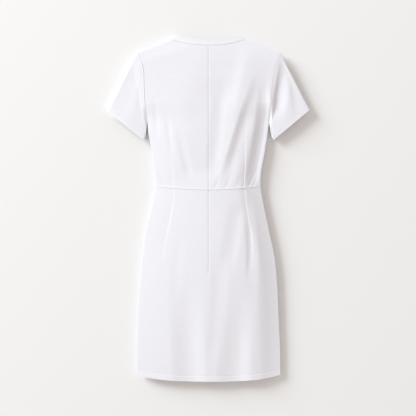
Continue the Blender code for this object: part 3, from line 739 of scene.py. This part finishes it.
def top_line(u, centre_y, power):
    """Y of a bodice panel's top edge: its neckline, then the shoulder seam."""
    x = np.asarray(u) * SHOULDER_X
    neckline = neck_curve(x, centre_y, NECK_Y, NECK_X, power)
    return np.where(np.abs(x) < NECK_X - TOUCH, neckline, shoulder_line(x))


def bodice_grid(u, v, height, neck_y, neck_power, darted):
    """Outer points of a bodice panel, waist row first."""
    v = v[:, None]
    u = u[None, :]
    side_y = waist_line(1.0) + v * (SHOULDER_Y - waist_line(1.0))
    x = u * half_width(u, side_y)
    y = (1 - v) * (waist_line(u) + HALF_SEAM) + v * top_line(u, neck_y, neck_power)
    if darted:
        x = follow_darts(u, x, side_y)
    return np.stack([x, y, height(x, y)], axis=-1)


def bodice_inset(outer, u, up):
    """Inward step of a bodice panel's points, square at its seams."""
    normals = grid_normals(outer) * up
    side_rows = outer[:, -1, 1] <= UNDERARM_Y + HALF_SEAM
    shoulder = np.abs(u) >= NECK_X / SHOULDER_X - TOUCH
    normals[0] = square_to(normals[0], 1)
    along = np.gradient(outer[-1, :, :2], axis=0)
    out = unit(np.stack([-along[:, 1], along[:, 0], np.zeros(len(u))], axis=-1))
    lean = np.sum(normals[-1] * out, axis=-1, keepdims=True)
    normals[-1] = np.where(shoulder[:, None], normals[-1], normals[-1] - lean * out)
    normals[-1, shoulder] = square_to(normals[-1, shoulder], 0, 1)
    for column in (0, -1):
        if abs(u[column]) == 1:
            normals[side_rows, column] = square_to(normals[side_rows, column], 0, 1)
            outward = np.sign(u[column])
            lean = np.maximum(0.0, normals[~side_rows, column, 0] * outward) * outward
            normals[~side_rows, column, 0] = lean
    normals[:, np.abs(u) == 0] = square_to(normals[:, np.abs(u) == 0], 0)
    return -CLOTH * unit(normals)


def bodice_back(side, name, material):
    """One half of the bodice back, from the centre seam to the armhole."""
    u, v = bodice_samples(FINE_STEP)
    u = u * side
    outer = bodice_grid(u, v, sewn_back, BACK_NECK_Y, BACK_NECK_POWER, True)
    inset = bodice_inset(outer, u, side)
    outer[:, 0, 0] = side * HALF_SEAM
    return cloth_wall(name, outer, inset, material, outer[..., :2])


def bodice_front(name, material):
    """The bodice front, one piece, flat on the floor."""
    half, v = bodice_samples(UNDER_STEP)
    u = np.concatenate([-half[:0:-1], half])
    outer = bodice_grid(u, v, front_height, FRONT_NECK_Y, FRONT_NECK_POWER, False)
    inset = bodice_inset(outer, u, -1)
    inset[:, len(u) // 2] = np.array([0.0, 0.0, CLOTH])
    return cloth_wall(name, outer, inset, material, outer[..., :2])


def skirt_rows(step):
    """Y of each row of skirt points at the side, hem first, with the turned hem's edge."""
    turn_top = HEM_SIDE_Y + HEM_TURN
    waist = float(waist_line(1.0))
    seam = [waist - inset for inset in reversed(SEAM_STEPS)]
    hem = [HEM_SIDE_Y] + evenly(HEM_SIDE_Y + HEM_STEP, turn_top - 3 * HEM_STEP, step)
    sewn = near_stitches(turn_top)
    return np.array(hem + sewn + evenly(sewn[-1] + HEM_STEP, seam[0], step) + seam[1:])


def slit_row_y():
    """Y at the side of the row of skirt points that crosses the centre at the zip's end."""
    hem = HEM_SIDE_Y - BACK_HEM_DROP
    share = (ZIP_END_Y - hem) / (WAIST_Y - HALF_SEAM - hem)
    return HEM_SIDE_Y + share * (float(waist_line(1.0)) - HEM_SIDE_Y)


def skirt_grid(u, side_y, height, drop, darted):
    """Outer points of a skirt panel, hem row first."""
    waist = waist_line(1.0)
    v = ((side_y - HEM_SIDE_Y) / (waist - HEM_SIDE_Y))[:, None]
    u = u[None, :]
    x = u * half_width(u, side_y[:, None])
    if darted:
        x = follow_darts(u, x, side_y[:, None])
    hem = HEM_SIDE_Y - drop * (1 - np.abs(u) ** HEM_POWER)
    y = (1 - v) * hem + v * (waist_line(u) - HALF_SEAM)
    return np.stack([x, y, height(x, y)], axis=-1)


def skirt_inset(outer, up, turned):
    """Inward step of a skirt panel's points, thicker where the hem is turned up."""
    normals = grid_normals(outer) * up
    for column in (0, -1):
        normals[:, column] = square_to(normals[:, column], 0, 1)
    for row in (0, -1):
        normals[row] = square_to(normals[row], 1)
    thickness = np.full(outer.shape[:2], CLOTH)
    thickness[turned, 1:-1] = HEM_CLOTH
    return -thickness[..., None] * normals


def skirt_back(name, material):
    """The skirt back in one piece, slit at the centre down to the end of the zip."""
    half = panel_columns(SKIRT_SIDE_X, SKIRT_STEP)
    u = np.concatenate([-half[::-1], half])
    rows = skirt_rows(SKIRT_STEP)
    slit_end = np.argmin(np.abs(rows - slit_row_y()))
    rows[slit_end] = slit_row_y()
    centre = len(half)
    turned = rows <= HEM_SIDE_Y + HEM_TURN + TOUCH
    outer = skirt_grid(u, rows, sewn_back, BACK_HEM_DROP, True)
    outer[:, centre - 1, 0] = -HALF_SEAM
    outer[:, centre, 0] = HALF_SEAM
    inset = skirt_inset(outer, 1, turned)
    inset[slit_end:, centre - 1:centre + 1] = (0.0, 0.0, -CLOTH)
    keep = np.ones((len(rows) - 1, len(u) - 1), bool)
    keep[slit_end:, centre - 1] = False
    return cloth_wall(name, outer, inset, material, outer[..., :2], turned[:, None], keep)


def skirt_front(name, material):
    """The skirt front, one piece, flat on the floor."""
    half = panel_columns(SKIRT_SIDE_X, UNDER_STEP)
    u = np.concatenate([-half[:0:-1], half])
    rows = skirt_rows(UNDER_STEP)
    turned = rows <= HEM_SIDE_Y + HEM_TURN + TOUCH
    outer = skirt_grid(u, rows, front_height, FRONT_HEM_DROP, False)
    inset = skirt_inset(outer, -1, turned)
    return cloth_wall(name, outer, inset, material, outer[..., :2], turned[:, None])


# Sleeves

def sleeve_plan(sleeve, a, b, corner_x, corner_y):
    """Plan position on a sleeve: a runs from the outer fold to the tuck, b from armhole to cuff."""
    y0 = SHOULDER_Y - a * (SHOULDER_Y - UNDERARM_Y)
    x0 = np.abs(half_width(sleeve.side * np.ones_like(y0), y0)) + SEAM
    first = np.clip(a / CUFF_CORNER, 0.0, 1.0)
    second = np.clip((a - CUFF_CORNER) / (1 - CUFF_CORNER), 0.0, 1.0)
    x1 = sleeve.tip_x + first * (corner_x - sleeve.tip_x) + second * (sleeve.tuck_x - corner_x)
    y1 = sleeve.tip_y + first * (corner_y - sleeve.tip_y) + second * (sleeve.tuck_y - corner_y)
    start = (2 * b ** 3 - 3 * b ** 2 + 1, b ** 3 - 2 * b ** 2 + b)
    end = (3 * b ** 2 - 2 * b ** 3, b ** 3 - b ** 2)
    x = start[0] * x0 + start[1] * through(LEADS, "start_x", a) + end[0] * x1
    x = x + end[1] * through(LEADS, "end_x", a)
    y = start[0] * y0 + start[1] * through(LEADS, "start_y", a) + end[0] * y1
    y = y + end[1] * through(LEADS, "end_y", a)
    return x, y


def sleeve_skins(sleeve, a, b):
    """Points of a sleeve's upper and lower skin."""
    join = smooth(b / (ARMHOLE_BLEND + UNDERARM_BLEND * a ** UNDERARM_POWER))
    reach = SLEEVE_LENGTH * (1 - CUFF_TAPER * b)
    middle = (1 - a) * (SHOULDER_HEIGHT + b * (TIP_HEIGHT - SHOULDER_HEIGHT))
    seam = seam_height(sleeve.side * SHOULDER_X, UNDERARM_Y)
    middle = middle + a * (seam + smooth(b * TUCK_PACE) * (TUCK_HEIGHT - seam))
    turned = turn(a * reach, SLEEVE_SHARE, SLEEVE_ROUND, SLEEVE_SLOPE)
    turned = turned * turn((1 - a) * reach, TUCK_SHARE, TUCK_ROUND, TUCK_SLOPE)
    under = turn(a * reach, UNDER_SHARE, SLEEVE_ROUND, UNDER_SLEEVE_SLOPE)
    under = under * turn((1 - a) * reach, UNDER_SHARE, TUCK_ROUND, UNDER_SLEEVE_SLOPE)

    x, y = sleeve_plan(sleeve, a, b, sleeve.corner_x, sleeve.corner_y)
    crown = SLEEVE_HEIGHT + b * (CUFF_HEIGHT - SLEEVE_HEIGHT) - sleeve.fall * smooth(a)
    edge = middle + LAYER
    clear = turned * smooth(a * reach / FOLD_CLEAR)
    top = edge + (crown - edge) * turned - fold_depth(sleeve.folds, x, y) * clear
    arm_y = SHOULDER_Y - a * (SHOULDER_Y - UNDERARM_Y)
    arm_x = half_width(sleeve.side * np.ones_like(arm_y), arm_y) * sleeve.side
    top = (1 - join) * back_height(arm_x, arm_y) + join * top
    from_seam = b * SLEEVE_LENGTH
    head = SLEEVE_HEAD * np.exp(-((from_seam - SLEEVE_HEAD_WIDTH / 2) / SLEEVE_HEAD_WIDTH) ** 2)
    top = top + head * turned * smooth(from_seam / (SLEEVE_HEAD_WIDTH / 2))
    from_stitches = SLEEVE_LENGTH - CUFF_TURN - from_seam
    top = top - STITCH_GROOVE * pinch(from_stitches, STITCH_FLANK) * turned
    upper = np.stack([x * sleeve.side, y, top], axis=-1)

    low_x = sleeve.corner_x - UNDER_CUFF_LIFT
    low_y = sleeve.corner_y + UNDER_CUFF_LIFT
    x, y = sleeve_plan(sleeve, a, b, low_x, low_y)
    low = (1 - join) * front_height(arm_x, arm_y) + join * (middle - LAYER) * (1 - under)
    lower = np.stack([x * sleeve.side, y, low], axis=-1)
    return upper, lower


def sleeve_rows():
    """Shares of a sleeve's length: close at the armhole and at the turned cuff."""
    sewn = near_stitches(SLEEVE_LENGTH - CUFF_TURN)
    rows = list(SEAM_STEPS) + evenly(SEAM_STEPS[-1], sewn[0] - HEM_STEP, FINE_STEP)[1:] + sewn
    rows += evenly(sewn[-1] + HEM_STEP, SLEEVE_LENGTH - HEM_STEP, FINE_STEP) + [SLEEVE_LENGTH]
    return np.array(rows) / SLEEVE_LENGTH


def sleeve_columns():
    """Shares of the way round a sleeve's upper skin, close at its fold, corner and tuck."""
    armhole = SHOULDER_Y - UNDERARM_Y
    fold = [inset / armhole for inset in rounded_edge(SLEEVE_ROUND)]
    tuck = [1 - inset / armhole for inset in reversed(rounded_edge(UNDERARM_ROUND))]
    a = fold + evenly(fold[-1], tuck[0], FINE_STEP / armhole)[1:-1] + tuck
    a = np.array(a)
    a[np.argmin(np.abs(a - CUFF_CORNER))] = CUFF_CORNER
    return a


def sleeve(shape, material):
    """One sleeve: a flattened tube from the armhole to the cuff."""
    name = shape.name + "_cloth"
    a = sleeve_columns()[None, :]
    b = sleeve_rows()[:, None]
    upper, lower = sleeve_skins(shape, a, b)
    outer = np.concatenate([upper, lower[:, -2:0:-1]], axis=1)
    normals = tube_normals(outer, shape.side)
    turned = b[:, 0] >= 1 - CUFF_TURN / SLEEVE_LENGTH + TOUCH
    thickness = np.where(turned, HEM_CLOTH, CLOTH)[:, None, None]
    away = normals[0, :, 0] * shape.side
    normals[0, :, 0] = np.where(away > 0, 0.0, normals[0, :, 0])
    across = np.concatenate([a, a[:, -2:0:-1]], axis=1) * SLEEVE_LENGTH
    cut = np.stack(np.broadcast_arrays(across, b * SLEEVE_LENGTH), axis=-1)
    inset = -thickness * unit(normals)
    return cloth_wall(name, outer, inset, material, cut, turned[:, None], ring=True)


# Neckband and zip

NECKLINES = (
    (BACK_NECK_Y, BACK_BAND_Y, BACK_NECK_POWER, back_height),
    (FRONT_NECK_Y, FRONT_BAND_Y, FRONT_NECK_POWER, front_height),
)


def neckband_strip(half, centre, top, power, height):
    """Points across one side of the neckband, from its seam to its top edge."""
    across = np.array(BAND_SHARES)[:, None]
    seam_y = neck_curve(half, centre, NECK_Y, NECK_X, power)
    edge_x = half * BAND_X / NECK_X
    edge_y = neck_curve(edge_x, top, BAND_Y, BAND_X, power)
    points_x = (1 - across) * half * (1 - BAND_PULL) + across * edge_x
    points_y = (1 - across) * (seam_y + SEAM) + across * edge_y
    roll = BAND_ROLL * np.exp(-((across - BAND_ROLL_AT) / BAND_ROLL_WIDTH) ** 2)
    clear = 1 - smooth((np.abs(half) / NECK_X - BAND_CLEAR) / (1 - BAND_CLEAR))
    raised = (roll + BAND_TILT * (1 - across)) * clear * (height is back_height)
    points_z = height(half, seam_y) + raised
    return np.stack([points_x, points_y, points_z], axis=-1)


def neckband(name, material):
    """The neckband: a closed ring of doubled knit along the back and front necklines."""
    half = np.array(evenly(0.0, NECK_X, FINE_STEP))
    half = np.concatenate([-half[:0:-1], half])
    back, front = (neckband_strip(half, *neckline) for neckline in NECKLINES)
    outer = np.concatenate([back, front[:, -2:0:-1]], axis=1)
    normals = tube_normals(outer)
    width = unit(outer[-1] - outer[0])
    for row in (0, -1):
        along = np.sum(normals[row] * width, axis=-1, keepdims=True)
        normals[row] = unit(normals[row] - along * width)
    around = np.concatenate([half, half[-2:0:-1]])[None, :]
    across = np.linspace(0.0, BAND_WIDTH, len(outer))[:, None]
    cut = np.stack(np.broadcast_arrays(around, across), axis=-1)
    return cloth_wall(name, outer, -BAND_CLOTH * normals, material, cut, ring=True)


def zip_tape(name, material):
    """The concealed zip under the centre back seam and the slit below it."""
    x = np.linspace(-ZIP_HALF_WIDTH, ZIP_HALF_WIDTH, 5)
    y = np.array(evenly(ZIP_END_Y - ZIP_TAIL, BACK_NECK_Y - ZIP_TOP_GAP, FINE_STEP))
    x, y = np.broadcast_arrays(x[None, :], y[:, None])
    under = back_height(x, y) - CLOTH - centre_groove(x) - ZIP_GAP
    outer = np.stack([x, y, under], axis=-1)
    inset = np.zeros_like(outer)
    inset[..., 2] = -ZIP_CLOTH
    return cloth_wall(name, outer, inset, material, outer[..., :2])


# Sewing

def spindles(name, centres, along, across, up, width, material):
    """Many small pointed rods in one mesh: a stitch of thread or a turn of the coil each."""
    ring = (across, up, -across, -up)
    points = [centres - along, centres + along]
    for shoulder in (-ROD_SHOULDER, ROD_SHOULDER):
        points += [centres + along * shoulder + side * width for side in ring]
    points = np.stack(points, axis=1)
    rod = []
    for k in range(4):
        after = (k + 1) % 4
        rod += [[2 + k, 2 + after, 6 + after, 6 + k], [0, 2 + after, 2 + k], [1, 6 + k, 6 + after]]
    faces = []
    for number in range(len(centres)):
        first = number * points.shape[1]
        faces += [[first + corner for corner in face] for face in rod]
    return add_piece(name, closed_mesh(name, points, faces), material)


def stitches(name, rows, material):
    """Stitches along some rows, each a dense line of points on the cloth with its upward side."""
    centres, along, side = [], [], []
    for line, upward in rows:
        run = np.concatenate([[0.0], np.cumsum(np.linalg.norm(np.diff(line, axis=0), axis=1))])
        at = np.arange(STITCH_PITCH, run[-1] - STITCH_PITCH / 2, STITCH_PITCH)
        middle = np.stack([np.interp(at, run, line[:, k]) for k in range(3)], axis=-1)
        ahead = np.stack([np.interp(at + THREAD, run, line[:, k]) for k in range(3)], axis=-1)
        centres.append(middle)
        along.append(unit(ahead - middle) * STITCH_LENGTH / 2)
        side.append(np.full(len(at), float(upward)))
    centres, along = np.concatenate(centres), np.concatenate(along)
    up = np.zeros_like(centres)
    up[:, 2] = np.concatenate(side)
    across = unit(np.cross(along, up))
    return spindles(name, centres, along, across, up, THREAD, material)


def hem_rows(height, drop, upward):
    """The two rows of stitches along one side of the hem."""
    x = np.linspace(-1.0, 1.0, HEM_ROW_POINTS) * (SKIRT_HEM_X - HEM_ROW_INSET)
    rows = []
    for above in (HEM_TURN, HEM_TURN - ROW_GAP):
        y = hem_line(x, np.full_like(x, HEM_SIDE_Y), drop) + above
        rows.append((np.stack([x, y, height(x, y)], axis=-1), upward))
    return rows


def cuff_rows(shape):
    """The two rows of stitches round a cuff, on both its sides."""
    a = np.linspace(*CUFF_ROW_ENDS, CUFF_ROW_POINTS)
    rows = []
    for from_edge in (CUFF_TURN, CUFF_TURN - ROW_GAP):
        b = np.full_like(a, 1 - from_edge / SLEEVE_LENGTH)
        upper, lower = sleeve_skins(shape, a, b)
        rows += [(upper, 1.0), (lower, -1.0)]
    return rows


def band_rows():
    """The row of stitches along the neckband's back and front."""
    half = np.linspace(-BAND_ROW_REACH, BAND_ROW_REACH, BAND_ROW_POINTS) * NECK_X
    rows = []
    for (centre, top, power, height), upward in zip(NECKLINES, (1.0, -1.0)):
        strip = neckband_strip(half, centre, top, power, height)
        share = BAND_ROW / (top - centre)
        first = np.searchsorted(BAND_SHARES, share) - 1
        t = (share - BAND_SHARES[first]) / (BAND_SHARES[first + 1] - BAND_SHARES[first])
        rows.append((strip[first] * (1 - t) + strip[first + 1] * t, upward))
    return rows


def zip_coil(name, material):
    """The two interlocked rows of coil turns under the zip's tape."""
    y = np.arange(ZIP_END_Y, BACK_NECK_Y - 2 * ZIP_TOP_GAP, COIL_PITCH)
    side = np.where(np.arange(len(y)) % 2, 1.0, -1.0)
    x = side * COIL_OFFSET
    under = back_height(0 * y, y) - CLOTH - CENTRE_GROOVE - ZIP_GAP - ZIP_CLOTH - COIL_WIRE
    centres = np.stack([x, y, under], axis=-1)
    along, across, up = (np.broadcast_to(axis, centres.shape) for axis in np.eye(3))
    return spindles(name, centres, along * COIL_TURN / 2, across, up, COIL_WIRE, material)


# Camera, floor and light

PHOTO_PIXELS = 416
METRES_PER_PIXEL = 0.0029
CENTRE_PIXEL = (208.5, 208.3)
LENS = 85.0
SENSOR = 36.0
OUTLINE_HEIGHT = 0.018


def set_camera():
    """A long lens straight above the dress, framed as the photo is."""
    data = bpy.data.cameras.new("camera")
    data.lens = LENS
    data.sensor_width = SENSOR
    camera = put_in_scene("camera", data)
    away = PHOTO_PIXELS * METRES_PER_PIXEL * LENS / SENSOR
    middle = PHOTO_PIXELS / 2
    x = (middle - CENTRE_PIXEL[0]) * METRES_PER_PIXEL
    y = (CENTRE_PIXEL[1] - middle) * METRES_PER_PIXEL
    camera.location = (x, y, OUTLINE_HEIGHT + away)
    bpy.context.scene.camera = camera


KEY_DIRECTION = Vector((-0.81, 0.58, 0.0))
KEY_ELEVATION = 18.5
KEY_DISTANCE = 12.0
KEY_SIZE = 5.6
KEY_POWER = 1800
KEY_COLOUR = (0.875, 0.96, 1.0)
FILL = 0.61
FILL_COLOUR = (1.0, 0.935, 0.90, 1.0)
FLOOR_SIZE = 14.0
FLOOR_DROP = 0.0004  # so that the floor shares no plane with the cloth on it


def set_light():
    """One large cool light low on the upper left, in a bright, even and warmer studio."""
    direction = KEY_DIRECTION.normalized() * np.cos(np.radians(KEY_ELEVATION))
    direction.z = np.sin(np.radians(KEY_ELEVATION))
    data = bpy.data.lights.new("softbox", "AREA")
    data.shape = "DISK"
    data.size = KEY_SIZE
    data.energy = KEY_POWER
    data.color = KEY_COLOUR
    lamp = put_in_scene("softbox", data)
    lamp.location = direction * KEY_DISTANCE
    lamp.rotation_mode = "QUATERNION"
    lamp.rotation_quaternion = direction.to_track_quat("Z", "Y")
    world = bpy.data.worlds.new("studio")
    bpy.context.scene.world = world
    world.use_nodes = True
    background = world.node_tree.nodes["Background"]
    background.inputs["Color"].default_value = FILL_COLOUR
    background.inputs["Strength"].default_value = FILL
    bpy.context.scene.view_settings.view_transform = "Standard"


def lay_floor():
    """Plain pale studio floor."""
    material, shader = new_material(
        "matt white board", {"Roughness": 0.9, "Specular IOR Level": 0.1}
    )
    grain = add_node(material, "ShaderNodeTexNoise", {"Scale": 2.0, "Detail": 2.0})
    tone = add_node(
        material, "ShaderNodeMix",
        {"data_type": "RGBA", 6: linear("#F7F6F5"), 7: linear("#F9F8F7")},
        {0: grain.outputs["Fac"]},
    )
    material.node_tree.links.new(tone.outputs[2], shader.inputs["Base Color"])
    half = FLOOR_SIZE / 2
    mesh = bpy.data.meshes.new("floor")
    mesh.from_pydata([(-half, -half, 0), (half, -half, 0), (half, half, 0), (-half, half, 0)],
                     [], [(0, 1, 2, 3)])
    mesh.materials.append(material)
    floor = put_in_scene("floor", mesh)
    floor.location.z = -FLOOR_DROP


def place(piece, slot, *nodes):
    """Ride a piece on the dress and hide the solids it stands for; slot is not used."""
    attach(piece, BODY)
    if nodes:
        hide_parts(*nodes)
    return piece


set_camera()
set_light()
lay_floor()

# Real ponte has a wale about every 0.7 mm. These are coarser, so that they show close up.
WALE = 1.1 * MM
TAPE_WALE = 0.6 * MM

# Viscose and elastane, knitted double: matt, dense and even, with a faint bloom at a slant.
# Where a hem is turned up, the colour is painted a little lighter, for less of the shaded hollow
# showing through two layers.
white_knit = knit_cloth("ponte double knit", "#F5F4FA", "#F8F7FC", 0.85, WALE, 0.35)

# The same knit folded double and pressed: smoother, and painted a little lighter, for less shade of
# the hollow showing through the fold
band_knit = knit_cloth("folded ponte binding", "#F8F7FC", "#FAF9FD", 0.82, WALE, 0.35)

# Polyester woven tight and flat: smoother than the knit, and greyer in its shade
tape = knit_cloth("woven zip tape", "#EEEDF2", "#EEEDF2", 0.70, TAPE_WALE, 0.3)

# Spun thread is soft and slightly shiny. The coil's drawn wire is smooth, and glints.
thread = sewing_thread("spun polyester thread", "#EFEEF4", 0.60)
coil = sewing_thread("drawn polyester coil", "#ECEBF0", 0.40)

pieces = {
    "bodice_front": bodice_front("bodice_front_cloth", white_knit),
    "bodice_back_left": bodice_back(-1, "bodice_back_left_cloth", white_knit),
    "bodice_back_right": bodice_back(1, "bodice_back_right_cloth", white_knit),
    "skirt_front": skirt_front("skirt_front_cloth", white_knit),
    "skirt_back": skirt_back("skirt_back_cloth", white_knit),
}
for shape in SLEEVES:
    pieces[shape.name] = sleeve(shape, white_knit)
for node, piece in pieces.items():
    place(piece, "white_knit", node)
band = place(neckband("neckband_cloth", band_knit), "neckband_knit", "neckband")
zip_piece = place(zip_tape("zip_tape", tape), "zip_tape", "zip")

sewing = (
    stitches("hem_back_stitches", hem_rows(sewn_back, BACK_HEM_DROP, 1.0), thread),
    stitches("hem_front_stitches", hem_rows(front_height, FRONT_HEM_DROP, -1.0), thread),
    stitches("cuff_left_stitches", cuff_rows(SLEEVES[0]), thread),
    stitches("cuff_right_stitches", cuff_rows(SLEEVES[1]), thread),
)
for piece in sewing:
    place(piece, "white_knit")
place(stitches("neckband_stitches", band_rows(), thread), "neckband_knit")
place(zip_coil("zip_coil", coil), "zip_tape")
